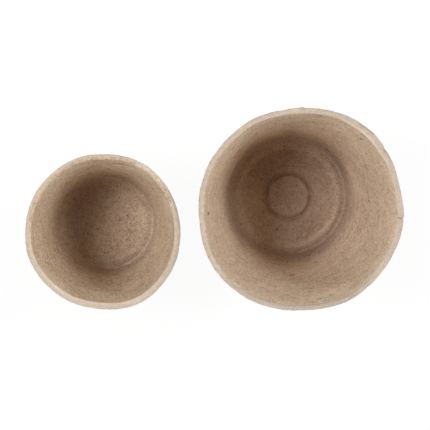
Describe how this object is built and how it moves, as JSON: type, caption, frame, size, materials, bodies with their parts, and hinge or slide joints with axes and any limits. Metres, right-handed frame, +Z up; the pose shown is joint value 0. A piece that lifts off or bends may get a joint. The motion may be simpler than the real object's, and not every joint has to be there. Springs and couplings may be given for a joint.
{
  "type": "peat pot pair",
  "caption": "Round tapered plant pots pressed from peat fibre, a small and a large one standing side by side, open at the top to hold soil and a seedling.",
  "frame": {"origin": "on the ground, at the middle of the box around both pots", "axes": "+Z up out of the mouths; +X from the small pot to the large pot; +Y to the side that the small pot is set back from"},
  "size_m": [0.1478, 0.0812, 0.08],
  "materials": {
    "large_pot_fibre": "pressed peat and wood fibre, matt and rough, paler at the rim",
    "small_pot_fibre": "pressed peat and wood fibre, matt and rough, paler at the rim"
  },
  "bodies": {
    "large_pot": {"large_pot": "large_pot_fibre"},
    "small_pot": {"small_pot": "small_pot_fibre"}
  },
  "joints": [
    {"name": "small_pot_lift", "type": "slide", "parent": "large_pot", "child": "small_pot", "axis": [0, 0, 1], "range_m": [0, 0.085]}
  ]
}
